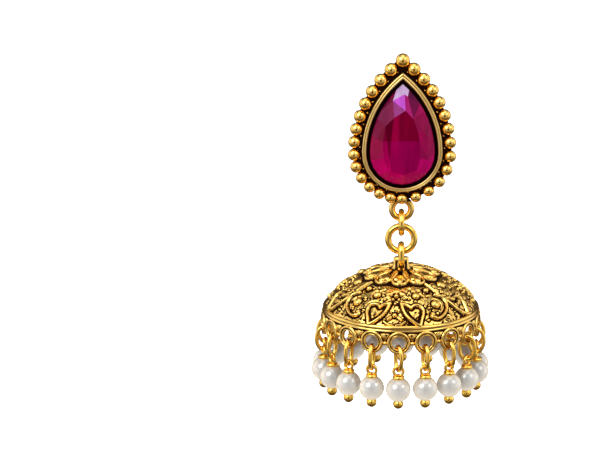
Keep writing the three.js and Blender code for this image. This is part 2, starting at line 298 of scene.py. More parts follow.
def teardrop_point(offset, share):
    """A point on the right of the teardrop that lies an offset outside the stone's, at a share of
    the way from the tip, down the arc of the flank and round the arc of the foot."""
    width = half_width + offset
    tip = tip_height + tip_rise * offset
    flank_radius = (width ** 2 + tip ** 2) / (2 * width)
    sweep = math.asin(tip / flank_radius)
    flank = flank_radius * sweep
    length = share * (flank + width * math.pi / 2)
    if length < flank:
        angle = sweep - length / flank_radius
        return width - flank_radius * (1 - math.cos(angle)), centre_z + flank_radius * math.sin(angle)
    angle = (length - flank) / width
    return width * math.cos(angle), centre_z - width * math.sin(angle)


outline_steps = 90


def teardrop_outline(offset):
    right = [teardrop_point(offset, i / outline_steps) for i in range(outline_steps + 1)]
    left = [(-x, z) for x, z in right[-2:0:-1]]
    return right + left


def teardrop_band(section):
    """Points and faces along the teardrop, one row for each offset and depth of the section."""
    points = [(x, y, z) for offset, y in section for x, z in teardrop_outline(offset)]
    return points, grid_faces(len(section), 2 * outline_steps)


def arc(centre, radius, start, end, steps):
    """Points along an arc from one angle to another, in degrees."""
    turns = [math.radians(start + (end - start) * i / steps) for i in range(steps + 1)]
    return [(centre[0] + radius * math.cos(t), centre[1] + radius * math.sin(t)) for t in turns]


def smoothstep(low, high, value):
    """Runs smoothly from 0 at low to 1 at high, which may be the smaller of the two."""
    share = np.clip((np.asarray(value, dtype=float) - low) / (high - low), 0, 1)
    return share * share * (3 - 2 * share)


# The plate: flat rows on the back, the rounded edge and flat rows on the front. The wash fills
# the front and stops halfway round the edge.
edge_round = 0.3
plate_front = -plate_thickness
edge_wash = (-plate_thickness / 2, -plate_thickness / 2 - 0.25)
back_rows = [(offset, 0.0) for offset in (-half_width + 0.4, -3.0, 0.0)]
edge_rows = (arc((plate_edge - edge_round, -edge_round), edge_round, 90, 0, 5)
             + arc((plate_edge - edge_round, plate_front + edge_round), edge_round, 0, -90, 5))
front_rows = [(offset, plate_front) for offset in (2.4, 1.9, 1.4, 0.9, 0.4, 0.0, -0.8)]
points, faces = teardrop_band(back_rows + edge_rows + front_rows)
columns = 2 * outline_steps
faces.append(tuple(range(columns))[::-1])
faces.append(tuple(range(len(points) - columns, len(points))))
plate_wash = [float(smoothstep(*edge_wash, y)) for x, y, z in points]
stud_plate = mesh_object("stud_plate", points, faces, antique_gold, plate_wash)

# The bezel: up the outside, over the lower outer ridge and the inner one, and down to the stone.
# The wash fills the groove between the ridges, the foot of the outside and the inside's wall.
ridge = 0.17
ridge_steps = 8
ridge_drop = 0.1
outer_ridge = bezel_gap + bezel_wall - ridge
inner_ridge = bezel_gap + ridge
outer_top = bezel_height - ridge - ridge_drop
inner_top = bezel_height - ridge
outer_rows = [(outer_ridge + ridge, height) for height in (0.0, 0.6)]
inner_rows = [(bezel_gap, height) for height in (0.9, 0.5, 0.0)]
bezel_section = (outer_rows + arc((outer_ridge, outer_top), ridge, 0, 180, ridge_steps)
                 + arc((inner_ridge, inner_top), ridge, 0, 180, ridge_steps) + inner_rows)
bezel_section = [(offset, plate_front - height) for offset, height in bezel_section]
points, faces = teardrop_band(bezel_section)
height_on_plate = np.array([plate_front - y for x, y, z in points])
row_of = np.repeat(np.arange(len(bezel_section)), columns)
groove_row = len(outer_rows) + ridge_steps
bezel_wash = smoothstep(0.45, 0.1, height_on_plate)
bezel_wash[row_of >= len(bezel_section) - len(inner_rows)] = 1.0
bezel_wash[(row_of == groove_row) | (row_of == groove_row + 1)] = 0.75
stud_bezel = mesh_object("stud_bezel", points, faces, bezel_painted_highlight_gold, bezel_wash)


def new_tree(name, sizes):
    """An empty Geometry Nodes tree with a geometry input and output and named inputs."""
    tree = bpy.data.node_groups.new(name, "GeometryNodeTree")
    tree.interface.new_socket("Geometry", in_out="INPUT", socket_type="NodeSocketGeometry")
    for label, kind in sizes.items():
        tree.interface.new_socket(label, in_out="INPUT", socket_type="NodeSocket" + kind)
    tree.interface.new_socket("Geometry", in_out="OUTPUT", socket_type="NodeSocketGeometry")
    given = tree.nodes.new("NodeGroupInput").outputs
    return tree, given


def end_tree(tree, geometry, finish):
    """Realizes the instances, smooths them and gives them their material."""
    realized = add_node(tree, "GeometryNodeRealizeInstances", {"Geometry": geometry})
    smooth = add_node(tree, "GeometryNodeSetShadeSmooth", {0: realized.outputs[0]})
    dressed = add_node(tree, "GeometryNodeSetMaterial", {0: smooth.outputs[0], "Material": finish})
    tree.links.new(dressed.outputs[0], tree.nodes.new("NodeGroupOutput").inputs[0])


def grown(name, source, tree, sizes):
    """Runs a Geometry Nodes tree on a source mesh and keeps what it makes as a plain mesh."""
    made = bpy.data.objects.new(name, source)
    scene.collection.objects.link(made)
    modifier = made.modifiers.new("build", "NODES")
    modifier.node_group = tree
    for item in tree.interface.items_tree:
        if item.in_out == "INPUT" and item.name in sizes:
            modifier[item.identifier] = sizes[item.name]
    ready = made.evaluated_get(bpy.context.evaluated_depsgraph_get())
    mesh = bpy.data.meshes.new_from_object(ready)
    made.modifiers.clear()
    made.data = mesh
    return made


def set_wash(made, wash):
    """Writes the black wash of a grown piece from a function of its points in millimetres."""
    mesh = made.data
    flat = np.empty(len(mesh.vertices) * 3)
    mesh.vertices.foreach_get("co", flat)
    layer = mesh.attributes.new("wash", "FLOAT", "POINT")
    layer.data.foreach_set("value", wash(flat.reshape(-1, 3) / MM))


# Balls set on a cloud of points, each as wide as the point's width attribute
ball_tree, given = new_tree("balls", {"Segments": "Int", "Finish": "Material"})
rings = add_node(ball_tree, "ShaderNodeMath", {0: given["Segments"], 1: 0.5}, operation="MULTIPLY")
ball = add_node(ball_tree, "GeometryNodeMeshUVSphere", {
    "Segments": given["Segments"], "Rings": rings.outputs[0], "Radius": 0.5})
width = add_node(ball_tree, "GeometryNodeInputNamedAttribute", {"Name": "width"}, data_type="FLOAT")
upright = add_node(ball_tree, "GeometryNodeInstanceOnPoints", {
    "Points": given["Geometry"], "Instance": ball.outputs["Mesh"],
    "Rotation": (math.pi / 2, 0, 0), "Scale": width.outputs[0]})
end_tree(ball_tree, upright.outputs[0], given["Finish"])


def balls(name, places, segments, finish):
    """places holds x, y, z and the width of each ball, in millimetres."""
    rows = np.array(places) * MM
    source = bpy.data.meshes.new(name + "_points")
    source.from_pydata(rows[:, :3].tolist(), [], [])
    layer = source.attributes.new("width", "FLOAT", "POINT")
    layer.data.foreach_set("value", rows[:, 3])
    return grown(name, source, ball_tree, {"Segments": segments, "Finish": finish})


def beside_row(row, offset, number):
    """The place beside a row of beads, by the bead's number, and its share of the row's length."""
    even = number / (row["count"] + 1)
    x, z = teardrop_point(offset, even + row["crowding"] * even * (1 - even))
    return row["side"] * x, z, even


# One bead stands on the tip and one at the bottom, and a row runs down each side between them
bead_y = plate_front - bead_lift
bead_wash = (plate_front - 0.16, plate_front + 0.1)
bead_places = [(0, bead_y, centre_z + tip_height + tip_rise * bead_offset, bead_top),
               (0, bead_y, centre_z - half_width - bead_offset, bead_lower)]
for row in bead_rows:
    for number in range(1, row["count"] + 1):
        x, z, even = beside_row(row, bead_offset, number)
        bead_places.append((x, bead_y, z, bead_upper + even * (bead_lower - bead_upper)))
stud_beads = balls("stud_beads", bead_places, 40, antique_gold)
set_wash(stud_beads, lambda p: smoothstep(*bead_wash, p[:, 1]))

# Grains of cast metal between the beads and the bezel, one at each gap in the row
grain_offset = 1.68
grain_width = 0.34
grain_y = plate_front - 0.03
grain_wash = (plate_front - 0.12, plate_front - 0.02)
grain_places = []
for row in bead_rows:
    for number in range(row["count"] + 1):
        x, z, even = beside_row(row, grain_offset, number + 0.5)
        grain_places.append((x, grain_y, z, grain_width))
stud_grains = balls("stud_grains", grain_places, 12, antique_gold)
set_wash(stud_grains, lambda p: smoothstep(*grain_wash, p[:, 1]))

# A ring of round wire, round or oval, drawn in XY and then turned and set in its place
wire_tree, given = new_tree("wire_ring", {
    "Hole Width": "Float", "Hole Height": "Float", "Wire": "Float", "Around": "Int",
    "Turn": "Vector", "Place": "Vector", "Finish": "Material"})


def half_sum(tree, one, other):
    total = add_node(tree, "ShaderNodeMath", {0: one, 1: other})
    half = add_node(tree, "ShaderNodeMath", {0: total.outputs[0], 1: 0.5}, operation="MULTIPLY")
    return half.outputs[0]


stretch = add_node(wire_tree, "ShaderNodeCombineXYZ", {
    "X": half_sum(wire_tree, given["Hole Width"], given["Wire"]),
    "Y": half_sum(wire_tree, given["Hole Height"], given["Wire"]), "Z": 1.0})
circle = add_node(wire_tree, "GeometryNodeCurvePrimitiveCircle", {
    "Resolution": given["Around"], "Radius": 1.0})
oval = add_node(wire_tree, "GeometryNodeTransform", {
    "Geometry": circle.outputs[0], "Scale": stretch.outputs[0]})
wire_radius = add_node(wire_tree, "ShaderNodeMath", {0: given["Wire"], 1: 0.5}, operation="MULTIPLY")
round_wire = add_node(wire_tree, "GeometryNodeCurvePrimitiveCircle", {
    "Resolution": 20, "Radius": wire_radius.outputs[0]})
tube = add_node(wire_tree, "GeometryNodeCurveToMesh", {
    "Curve": oval.outputs[0], "Profile Curve": round_wire.outputs[0]})
placed = add_node(wire_tree, "GeometryNodeTransform", {
    "Geometry": tube.outputs[0], "Rotation": given["Turn"], "Translation": given["Place"]})
end_tree(wire_tree, placed.outputs[0], given["Finish"])

FACING = (math.pi / 2, 0, 0)
EDGE_ON = (math.pi / 2, 0, math.pi / 2)


def wire_ring(name, size, turn, place, finish, around=72):
    """size holds the hole's width, its height where the ring is oval, and the wire's width."""
    return grown(name, bpy.data.meshes.new(name), wire_tree, {
        "Hole Width": size["hole"] * MM, "Hole Height": size.get("height", size["hole"]) * MM,
        "Wire": size["wire"] * MM, "Around": around, "Turn": turn,
        "Place": [at * MM for at in place], "Finish": finish})


# The loop at the foot, with the wash where it meets the plate
loop_z = stud_low[2] / MM + stud_loop["hole"] / 2 + stud_loop["wire"]
loop_wash = (loop_z + 1.2, loop_z + 1.7)
stud_hanger = wire_ring("stud_loop", stud_loop, FACING, (0, hang_y, loop_z), antique_gold)
set_wash(stud_hanger, lambda p: smoothstep(*loop_wash, p[:, 2]))

for piece in (stud_plate, stud_bezel, stud_beads, stud_grains, stud_hanger):
    settle(piece, "stud", ["stud_casting"])


# Stone
# A pear of ruby-coloured glass with a foiled back, held in the bezel. Its crown is cut by hand
# into a table and uneven facets, and each facet is given its own painted reflection of the foil's light.

stone_front = stone_low[1] / MM
stone_back = stone_high[1] / MM
girdle_front = stone_back - 1.0
girdle_back = stone_back - 0.7
back_inset = 0.5
crown = girdle_front - stone_front
# Corners of the cut: across and up from the round end's centre in millimetres, and how far
# forward each lies as a share of the crown's height
cut_corners = [
    (-1.65, 9.1, 0.5), (0.3, 10.2, 0.5), (0.8, 9.8, 0.47), (0.44, 7.6, 1.0),
    (-1.42, 6.4, 1.0), (-2.8, 5.0, 1.0), (1.77, 6.2, 1.0), (2.45, 4.2, 1.0), (2.85, 2.2, 1.0),
    (-3.25, 2.4, 1.0), (-3.1, -0.5, 1.0), (2.95, -0.5, 1.0), (2.4, -2.5, 1.0), (-2.3, -2.6, 1.0),
    (0.1, -3.3, 1.0), (-3.5, 5.6, 0.55), (2.9, 6.0, 0.5), (-4.3, 2.6, 0.5), (4.1, 3.2, 0.5),
    (4.3, -0.9, 0.5), (-4.3, -0.9, 0.5), (3.1, -3.3, 0.5), (-3.1, -3.3, 0.5), (1.0, -4.5, 0.5),
    (-1.1, -4.5, 0.5),
]
# Edges of the back facets, seen through the table: a point on each and the way that it runs
back_edges = [
    {"at": (0.0, 2.4), "along": (1.0, 0.0)},
    {"at": (-1.55, 6.0), "along": (-0.09, -1.0)},
    {"at": (-2.9, 5.0), "along": (0.13, -1.0)},
    {"at": (-0.55, 5.0), "along": (0.0, -1.0)},
]
# Colour of each facet, the ruby of the glass with a painted reflection of the foil's light, by the place
# of its middle
facet_painted_light = [
    {"at": (-0.8, 10.3), "ruby_with_painted_light": (0.38, 0.25, 0.43)}, {"at": (0.0, 10.9), "ruby_with_painted_light": (0.40, 0.26, 0.45)},
    {"at": (0.3, 10.6), "ruby_with_painted_light": (0.42, 0.28, 0.48)}, {"at": (-0.3, 9.0), "ruby_with_painted_light": (0.38, 0.06, 0.42)},
    {"at": (0.5, 9.2), "ruby_with_painted_light": (0.36, 0.05, 0.40)}, {"at": (1.5, 10.0), "ruby_with_painted_light": (0.07, 0.004, 0.03)},
    {"at": (-1.9, 9.9), "ruby_with_painted_light": (0.12, 0.003, 0.03)}, {"at": (-0.9, 7.7), "ruby_with_painted_light": (0.20, 0.03, 0.14)},
    {"at": (2.0, 8.3), "ruby_with_painted_light": (0.10, 0.003, 0.035)}, {"at": (1.1, 8.4), "ruby_with_painted_light": (0.24, 0.007, 0.09)},
    {"at": (1.7, 7.2), "ruby_with_painted_light": (0.20, 0.004, 0.05)}, {"at": (3.2, 5.2), "ruby_with_painted_light": (0.16, 0.001, 0.035)},
    {"at": (-2.4, 8.3), "ruby_with_painted_light": (0.10, 0.001, 0.025)}, {"at": (-2.6, 6.6), "ruby_with_painted_light": (0.15, 0.012, 0.05)},
    {"at": (-3.9, 4.4), "ruby_with_painted_light": (0.14, 0.002, 0.03)}, {"at": (-2.3, 4.0), "ruby_with_painted_light": (0.065, 0.0, 0.008)},
    {"at": (-1.1, 4.2), "ruby_with_painted_light": (0.16, 0.0, 0.022)}, {"at": (0.9, 4.4), "ruby_with_painted_light": (0.098, 0.0, 0.012)},
    {"at": (-3.0, 3.4), "ruby_with_painted_light": (0.13, 0.0, 0.02)}, {"at": (-2.2, 1.0), "ruby_with_painted_light": (0.10, 0.0, 0.016)},
    {"at": (-1.2, 0.5), "ruby_with_painted_light": (0.17, 0.0, 0.036)}, {"at": (0.2, 0.5), "ruby_with_painted_light": (0.13, 0.0, 0.027)},
    {"at": (2.2, 0.5), "ruby_with_painted_light": (0.145, 0.0, 0.034)}, {"at": (-2.8, 0.0), "ruby_with_painted_light": (0.21, 0.0, 0.042)},
    {"at": (-4.4, 0.8), "ruby_with_painted_light": (0.19, 0.0, 0.03)}, {"at": (4.2, 1.6), "ruby_with_painted_light": (0.19, 0.0, 0.04)},
    {"at": (3.7, -1.5), "ruby_with_painted_light": (0.26, 0.0, 0.065)}, {"at": (-3.7, -2.0), "ruby_with_painted_light": (0.29, 0.0, 0.06)},
    {"at": (-1.6, -4.0), "ruby_with_painted_light": (0.25, 0.0, 0.045)}, {"at": (1.6, -4.0), "ruby_with_painted_light": (0.22, 0.001, 0.042)},
    {"at": (0.0, -4.9), "ruby_with_painted_light": (0.24, 0.002, 0.038)},
]

# The glass takes each facet's ruby and painted reflection, streaked a little up and down
ruby_glass, tree, shader = new_material("ruby_glass")
ruby_with_painted_light = add_node(tree, "ShaderNodeAttribute", attribute_name="ruby_with_painted_light")
place = add_node(tree, "ShaderNodeTexCoord").outputs["Object"]
streaked = add_node(tree, "ShaderNodeMapping", {"Vector": place, "Scale": (1.0, 0.3, 0.22)})
streaks = add_node(tree, "ShaderNodeTexNoise", {
    "Vector": streaked.outputs[0], "Scale": 420, "Detail": 2, "Distortion": 0.6})
shade = add_node(tree, "ShaderNodeMapRange", {
    "Value": streaks.outputs["Fac"], "From Min": 0.35, "From Max": 0.65, "To Min": 0.8, "To Max": 1.2})
mixed = add_node(tree, "ShaderNodeVectorMath", {
    0: ruby_with_painted_light.outputs["Color"], "Scale": shade.outputs["Result"]}, operation="SCALE")
feed(tree, shader, {"Base Color": mixed.outputs[0], "Roughness": 0.06, "Specular IOR Level": 0.08})

# The cut is the hull of its corners and of the girdle, which takes each sixth outline point
girdle_step = 6
flat_enough = math.radians(0.5)
cut = bmesh.new()
for x, z, forward in cut_corners:
    cut.verts.new((x * MM, (girdle_front - forward * crown) * MM, (centre_z + z) * MM))
for offset, y in ((0.0, girdle_front), (0.0, girdle_back), (-back_inset, stone_back)):
    for x, z in teardrop_outline(offset)[::girdle_step]:
        cut.verts.new((x * MM, y * MM, z * MM))
hull = bmesh.ops.convex_hull(cut, input=cut.verts)
buried = {part for part in hull["geom_interior"] + hull["geom_unused"]
          if isinstance(part, bmesh.types.BMVert)}
bmesh.ops.delete(cut, geom=list(buried), context="VERTS")
bmesh.ops.dissolve_limit(cut, angle_limit=flat_enough, verts=cut.verts, edges=cut.edges)
bmesh.ops.recalc_face_normals(cut, faces=cut.faces)
table_from = (girdle_front - crown / 2) * MM
for edge in back_edges:
    table = [face for face in cut.faces
             if face.normal.y < -0.999 and face.calc_center_median().y < table_from]
    parts = {part for face in table for part in (face, *face.edges, *face.verts)}
    across = Vector((edge["along"][1], 0, -edge["along"][0]))
    on_edge = Vector((edge["at"][0] * MM, 0, (centre_z + edge["at"][1]) * MM))
    bmesh.ops.bisect_plane(cut, geom=list(parts), dist=1e-6, plane_co=on_edge, plane_no=across)
stone_mesh = bpy.data.meshes.new("stone")
cut.to_mesh(stone_mesh)
cut.free()
stone_mesh.materials.append(ruby_glass)
# Each face takes the ruby and painted reflection of the facet middle nearest its own
corner_painted_light = stone_mesh.attributes.new("ruby_with_painted_light", "FLOAT_COLOR", "CORNER")
for face in stone_mesh.polygons:
    middle = (face.center.x / MM, face.center.z / MM - centre_z)
    nearest = min(facet_painted_light, key=lambda row: math.dist(row["at"], middle))["ruby_with_painted_light"]
    for corner in face.loop_indices:
        corner_painted_light.data[corner].color = (*nearest, 1)
cut_stone = bpy.data.objects.new("cut_stone", stone_mesh)
scene.collection.objects.link(cut_stone)
settle(cut_stone, "stud", ["stone"])


# Ear post
# A plain pin of plated wire that goes through the ear. Its root is soldered into the back of the
# plate and its end is rounded.

_, post_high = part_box("ear_post")
post_radius = 0.45
post_root = -0.5
post_end = post_high[1] / MM
post_rows = ([(0.0, post_root)] + [(post_radius, y) for y in (post_root, 3.0, 8.0)]
             + arc((0.0, post_end - post_radius), post_radius, 0, 90, 8)[1:-1] + [(0.0, post_end)])


def revolved(rows, sides):
    """Points and faces of a turned form. rows holds radius and height; the poles are closed."""
    turns = 2 * math.pi * np.arange(sides) / sides
    points, faces, starts = [], [], []
    for radius, height in rows:
        starts.append((len(points), radius > 0))
        if radius > 0:
            points += [(radius * math.cos(t), radius * math.sin(t), height) for t in turns]
        else:
            points.append((0.0, 0.0, height))
    for (low, low_ring), (high, high_ring) in zip(starts, starts[1:]):
        for i in range(sides):
            j = (i + 1) % sides
            if low_ring and high_ring:
                faces.append((low + i, low + j, high + j, high + i))
            elif high_ring:
                faces.append((low, high + j, high + i))
            else:
                faces.append((low + i, low + j, high))
    return np.array(points), faces


# Turned upright, and then laid down by trading height for depth, which turns its faces round
points, faces = revolved(post_rows, 32)
post = mesh_object("post_pin", points[:, [0, 2, 1]], [face[::-1] for face in faces], bright_gold)
settle(post, "stud", ["ear_post"])


# Hanger
# A small link seen edge on and a larger ring facing front, of bright plated wire. Each is a
# closed ring that hangs in the one above it.

link_size = {"hole": 2.7, "wire": 0.95}
ring_size = {"hole": 3.24, "wire": 1.12}


def middle_height(node):
    low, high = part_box(node)
    return (low[2] + high[2]) / 2 / MM


link_place = (0.0, hang_y, middle_height("connector_link"))
link = wire_ring("link_wire", link_size, EDGE_ON, link_place, bright_gold)
settle(link, "link", ["connector_link"])
ring_place = (0.0, hang_y, middle_height("hanging_ring"))
large_ring = wire_ring("ring_wire", ring_size, FACING, ring_place, bright_gold)
settle(large_ring, "ring", ["hanging_ring"])


# Bell dome
# A cast dome, its face covered in raised ornament: petals round the neck, flowers, hearts and
# scrolls in two panels between raised lines. The black wash fills the ground between them.

_, bell_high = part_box("bell")
bell_radius = 12.95
bell_height = 6.7
bell_power = 2.24
bell_fullness = 0.82
bell_wall = 0.9
neck_radius = 1.3
neck_height = 2.0
rim_wire = 1.1
bail = {"hole": 1.46, "wire": 1.05}
weld = 0.14
bail_z = bell_high[2] / MM - bail["hole"] / 2 - bail["wire"]
neck_top = bail_z - bail["hole"] / 2 - weld
apex_z = neck_top - neck_height
rim_z = apex_z - bell_height
rim_radius = bell_radius - rim_wire / 2 + weld
dome_sides = 720
dome_rows = 130
ridge_rise = 0.36
ball_rise = 0.46
ground_sink = 0.24
roughness_rise = 0.035


def dome_height(radius):
    """The height of the plain dome, a superellipse of revolution."""
    return rim_z + bell_height * np.clip(1 - (radius / bell_radius) ** bell_power, 0, 1) ** bell_fullness


# Rows of points at even steps down the dome's face, each with its slope, and for every point how
# far it is raised, how far it is sunk and whether rough leaf covers it
fine_radius = np.linspace(0, bell_radius - 0.05, 3000)
fine_height = dome_height(fine_radius)
fine_length = np.concatenate([[0], np.cumsum(np.hypot(np.diff(fine_radius), np.diff(fine_height)))])
length_at = np.linspace(np.interp(neck_radius - 0.1, fine_radius, fine_length),
                        np.interp(bell_radius - 0.2, fine_radius, fine_length), dome_rows)
radius_at = np.interp(length_at, fine_length, fine_radius)
fall = -np.interp(radius_at, fine_radius, np.gradient(fine_height, fine_radius))
turn_at = 2 * math.pi * np.arange(dome_sides) / dome_sides
turns, radii = np.meshgrid(turn_at, radius_at)
lengths = np.interp(radii, fine_radius, fine_length)
rise = np.zeros_like(radii)
sunk = np.zeros_like(radii)
covered = np.zeros_like(radii)


def local(turn, radius, reach):
    """The dome near a motif: a window of its points, and their place across and up from it."""
    across = ((turns - math.radians(turn) + math.pi) % (2 * math.pi) - math.pi) * radii
    up = float(np.interp(radius, fine_radius, fine_length)) - lengths
    near = (np.abs(across) < reach) & (np.abs(up) < reach)
    return near, across[near], up[near]


def way_to_path(x, y, path):
    """The distance of each point from an open path."""
    best = np.full(x.shape, 99.0)
    for (ax, ay), (bx, by) in zip(path, path[1:]):
        run = (bx - ax) ** 2 + (by - ay) ** 2
        share = np.clip(((x - ax) * (bx - ax) + (y - ay) * (by - ay)) / max(run, 1e-9), 0, 1)
        best = np.minimum(best, np.hypot(x - ax - share * (bx - ax), y - ay - share * (by - ay)))
    return best


def within(x, y, path):
    """Whether each point is inside a closed path."""
    odd = np.zeros(x.shape, dtype=bool)
    for (ax, ay), (bx, by) in zip(path, path[1:]):
        if ay != by:
            odd ^= ((ay > y) != (by > y)) & (x < (bx - ax) * (y - ay) / (by - ay) + ax)
    return odd


def rounded(corners, closed, passes=2):
    """Cuts the corners of a path until it is round. A corner given twice stays sharper."""
    path = list(corners)
    for _ in range(passes):
        pairs = list(zip(path, path[1:] + path[:1])) if closed else list(zip(path, path[1:]))
        cut = []
        for (ax, ay), (bx, by) in pairs:
            cut.append((0.75 * ax + 0.25 * bx, 0.75 * ay + 0.25 * by))
            cut.append((0.25 * ax + 0.75 * bx, 0.25 * ay + 0.75 * by))
        path = cut if closed else [path[0]] + cut + [path[-1]]
    return path + path[:1] if closed else path


def raise_to(near, height):
    rise[near] = np.maximum(rise[near], height)


def sink_to(near, amount):
    sunk[near] = np.maximum(sunk[near], amount)


def emboss(near, away, half, height, moat):
    """A rounded ridge or ball as wide as twice half, in a hollow that reaches moat beyond it."""
    raise_to(near, height * np.sqrt(np.clip(1 - (away / half) ** 2, 0, 1)))
    sink_to(near, smoothstep(half + moat, half + 0.35 * moat, away))


def dome_ball(turn, radius, width, height=ball_rise, moat=0.36, shift=(0, 0)):
    near, x, y = local(turn, radius, width + 2)
    emboss(near, np.hypot(x - shift[0], y - shift[1]), width / 2, height, moat)


path_reach = 6.5


def dome_path(turn, radius, path, width, height=ridge_rise, moat=0.38):
    near, x, y = local(turn, radius, path_reach)
    emboss(near, way_to_path(x, y, path), width / 2, height, moat)


# Paths of the motifs, across and up from their middles
petal_half = [(0.5, 2.6), (0.62, 1.6), (1.05, 0.6), (1.35, -0.2), (1.1, -1.15), (0.4, -1.6)]
petal_path = rounded(petal_half + [(-x, y) for x, y in petal_half[::-1]], False, 1)
heart = [(-1.57, 1.95), (-1.57, 1.95), (-0.58, 1.68), (-0.05, 1.1), (-0.05, 1.1), (0.55, 1.68),
         (1.75, 1.35), (2.1, 0.24), (1.6, -1.06), (1.23, -2.2), (1.23, -2.2), (0.22, -1.61),
         (-1.14, -0.16)]
scroll = [(0.75, 1.75), (1.75, 1.2), (2.2, 0.2), (1.85, -1.2), (0.6, -2.25), (-0.85, -2.7),
          (-1.75, -2.25), (-1.35, -1.6)]
border = [(-0.75, 3.1), (-0.2, 0.5), (0.65, -1.6), (2.7, -4.3)]
leaf_stalk = [(0.6, -0.35), (1.1, -0.75)]
leaf_vein = [(0.3, -1.75), (1.1, -1.65), (1.8, -1.1)]


def mirrored(path, side):
    return [(side * x, y) for x, y in path]


def cover(near, height, leaf):
    """Raises a leaf of rough gold, given as its share of cover at each point."""
    raise_to(near, height * leaf)
    covered[near] = np.maximum(covered[near], leaf)


def drawn(turn, radius, path, reach, half, moat):
    """A motif drawn with a ridge and black inside. Returns its window, the way to the ridge, what
    is inside and the height on the motif, for a leaf to be set in it."""
    near, x, y = local(turn, radius, reach)
    away = way_to_path(x, y, path)
    emboss(near, away, half, ridge_rise, moat)
    inside = within(x, y, path + path[:1])
    sink_to(near, np.where(inside, 1.0, 0.0))
    return near, away, inside, y


def dome_heart(turn, radius, side):
    """A heart with a rough leaf of gold in its middle."""
    path = rounded(mirrored(heart, side), True)
    near, away, inside, _ = drawn(turn, radius, path, reach=3.6, half=0.26, moat=0.42)
    cover(near, 0.16, np.where(inside, smoothstep(0.58, 0.78, away), 0.0))


def dome_petal(turn, radius):
    """A petal with a rough hood across its upper half and a ball at its end."""
    near, away, inside, y = drawn(turn, radius, petal_path, reach=2.8, half=0.24, moat=0.8)
    hood = smoothstep(0.3, 0.42, away) * smoothstep(-0.35, -0.15, y) * smoothstep(1.25, 1.05, y)
    cover(near, 0.22, np.where(inside, hood, 0.0))
    dome_ball(turn, radius, 1.15, shift=(0, -0.75))


def dome_flower(turn, radius, middle, leaf, leaf_rise, out):
    """A ball with five smaller ones round it."""
    dome_ball(turn, radius, middle, moat=0.8)
    for i in range(5):
        angle = math.radians(90 + 72 * i)
        dome_ball(turn, radius, leaf, leaf_rise, 0.16, (out * math.cos(angle), out * math.sin(angle)))


petals = 11
petal_turn = -4.0
petal_radius = 4.75
petal_ground = 6.7
for i in range(petals):
    dome_petal(petal_turn + 360 * i / petals, petal_radius)
sunk[(radii < petal_ground) & (rise == 0)] = 1.0

# Two panels, half a turn apart. What a panel has on one side of its middle, it has mirrored on
# the other. Turns are in degrees from the middle, and a radius is the motif's from the axis.
panel_turns = (-6.6, 173.4)
panel_balls = [
    {"turn": 21.6, "radius": 8.7, "width": 1.25, "moat": 0.36},
    {"turn": 36.4, "radius": 7.9, "width": 0.9, "moat": 0.6},
    {"turn": 66.0, "radius": 7.6, "width": 1.5, "moat": 0.36},
    {"turn": 33.0, "radius": 12.1, "width": 0.7, "moat": 0.36},
    {"turn": 38.5, "radius": 10.4, "width": 1.5, "moat": 0.36},
]
hearts = [{"turn": 14.2, "radius": 11.4}, {"turn": 61.0, "radius": 11.3}]
scrolls_at = {"turn": 38.5, "radius": 10.4}
borders_at = {"turn": 48.7, "radius": 9.35}
leaf_radius = 11.6
for panel in panel_turns:
    dome_flower(panel, 8.7, middle=0.7, leaf=0.5, leaf_rise=0.3, out=0.85)
    dome_ball(panel, leaf_radius, 0.8)
    for side in (-1, 1):
        for row in panel_balls:
            dome_ball(panel + side * row["turn"], row["radius"], row["width"], moat=row["moat"])
        for row in hearts:
            dome_heart(panel + side * row["turn"], row["radius"], side)
        turn, radius = panel + side * scrolls_at["turn"], scrolls_at["radius"]
        dome_path(turn, radius, rounded(mirrored(scroll, side), False), 0.5)
        dome_ball(turn, radius, 0.62, 0.3, 0.2, shift=(-1.2 * side, -1.75))
        turn, radius = panel + side * borders_at["turn"], borders_at["radius"]
        dome_path(turn, radius, rounded(mirrored(border, side), False), 0.42, moat=0.6)
        dome_path(panel, leaf_radius, mirrored(leaf_stalk, side), 0.5, 0.3, 0.2)
        dome_path(panel, leaf_radius, rounded(mirrored(leaf_vein, side), False), 0.34, 0.28, 0.2)
    dome_flower(panel + 90, 9.9, middle=0.8, leaf=0.55, leaf_rise=0.32, out=0.95)
    dome_ball(panel + 90, 12.0, 0.9)

# Loose grains fill the ground where no motif lies, most of all in a belt above the rim
grain_count = 720
all_over = (7.2, 12.4)
low_belt = (11.3, 12.4)
all_over_share = 0.65
dice = np.random.default_rng(7)
for _ in range(grain_count):
    turn = float(dice.uniform(0, 360))
    belt = all_over if dice.random() < all_over_share else low_belt
    radius = float(dice.uniform(*belt))
    size = float(dice.uniform(0.26, 0.5))
    near, x, y = local(turn, radius, size)
    if near.any() and rise[near].max() < 0.05:
        emboss(near, np.hypot(x, y), size / 2, 0.2, 0.24)

# The cast skin between the motifs is rough, in two sizes of noise, and specks thin its wash
plain_spots = np.stack([radii * np.sin(turns), -radii * np.cos(turns), dome_height(radii)], axis=-1)
speck_shift = Vector((9, 4, 2))
rough = np.empty(radii.shape)
specks = np.empty(radii.shape)
for row in range(dome_rows):
    for column in range(dome_sides):
        spot = Vector(plain_spots[row, column])
        rough[row, column] = noise.noise(spot * 2.6) + 0.6 * noise.noise(spot * 6.1)
        specks[row, column] = noise.noise(spot * 1.7 + speck_shift)
free = smoothstep(0.1, 0.0, rise)
skin = free + covered
height = rise - ground_sink * sunk * free + roughness_rise * rough * skin

